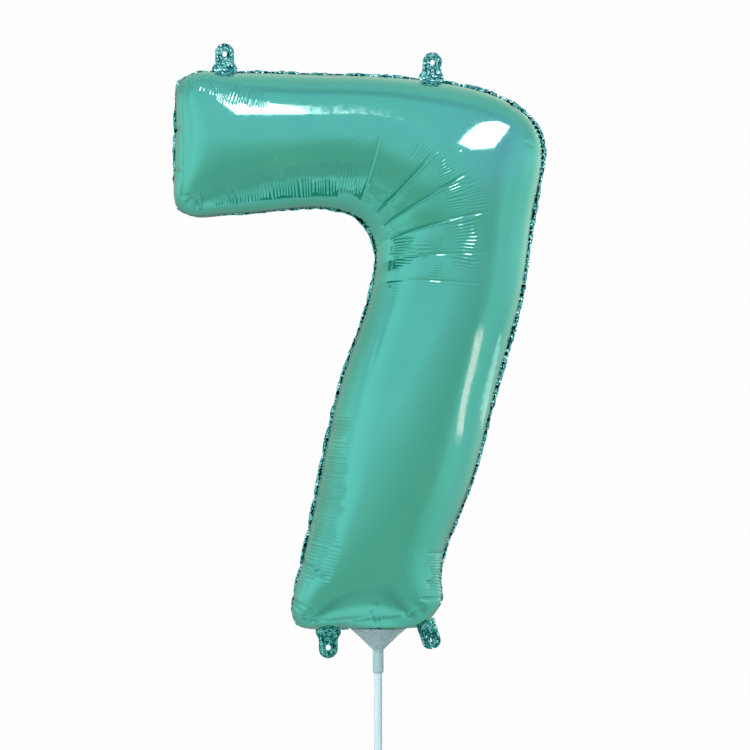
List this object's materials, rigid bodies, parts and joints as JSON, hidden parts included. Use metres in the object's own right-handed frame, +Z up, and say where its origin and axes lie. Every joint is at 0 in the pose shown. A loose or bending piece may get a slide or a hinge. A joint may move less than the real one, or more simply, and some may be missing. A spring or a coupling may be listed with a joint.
{
  "type": "foil number balloon",
  "caption": "Inflated teal foil balloon in the shape of the digit seven, with hanging tabs on its seam, seated in a moulded cup on a tube stick.",
  "frame": {"origin": "centre of the stick's lower end, on its axis", "axes": "+Z up along the stick, +X to the right across the front of the digit, +Y through the balloon to its back"},
  "size_m": [0.2329, 0.095, 0.6853],
  "materials": {
    "foil": "teal metallised film, mirror bright, finely puckered along the seam",
    "foil_tab": "teal metallised film, flat, crinkled and embossed by the seal",
    "valve_film": "thin clear film",
    "cup_plastic": "translucent pale blue-white moulded plastic, smooth",
    "stick_plastic": "pale translucent extruded tube, glossy"
  },
  "bodies": {
    "stick": {"stick": "stick_plastic"},
    "cup": {"cup": "cup_plastic"},
    "balloon": {"front_panel": "foil", "back_panel": "foil", "valve_front_film": "valve_film", "valve_back_film": "valve_film"},
    "hanging_tab_top_left": {"hanging_tab_top_left": "foil_tab"},
    "hanging_tab_top_right": {"hanging_tab_top_right": "foil_tab"},
    "hanging_tab_bottom_left": {"hanging_tab_bottom_left": "foil_tab"},
    "hanging_tab_bottom_right": {"hanging_tab_bottom_right": "foil_tab"}
  },
  "joints": [
    {"name": "cup_turn", "type": "hinge", "parent": "stick", "child": "cup", "pos_m": [0, 0, 0.296], "axis": [0, 0, 1], "continuous": true},
    {"name": "balloon_lift", "type": "slide", "parent": "cup", "child": "balloon", "axis": [0, 0, 1], "range_m": [0, 0.012]},
    {"name": "top_left_tab_flex", "type": "hinge", "parent": "balloon", "child": "hanging_tab_top_left", "pos_m": [-0.096, 0, 0.6697], "axis": [1, 0, 0], "range_deg": [-60, 60], "stiffness_Nm_per_rad": 0.0002},
    {"name": "top_right_tab_flex", "type": "hinge", "parent": "balloon", "child": "hanging_tab_top_right", "pos_m": [0.0332, 0, 0.6643], "axis": [0.9976, 0, -0.0698], "range_deg": [-60, 60], "stiffness_Nm_per_rad": 0.0002},
    {"name": "bottom_left_tab_flex", "type": "hinge", "parent": "balloon", "child": "hanging_tab_bottom_left", "pos_m": [-0.0312, 0, 0.3166], "axis": [-1, 0, 0], "range_deg": [-60, 60], "stiffness_Nm_per_rad": 0.0002},
    {"name": "bottom_right_tab_flex", "type": "hinge", "parent": "balloon", "child": "hanging_tab_bottom_right", "pos_m": [0.0308, 0, 0.3196], "axis": [-0.9511, 0, -0.309], "range_deg": [-60, 60], "stiffness_Nm_per_rad": 0.0002}
  ]
}
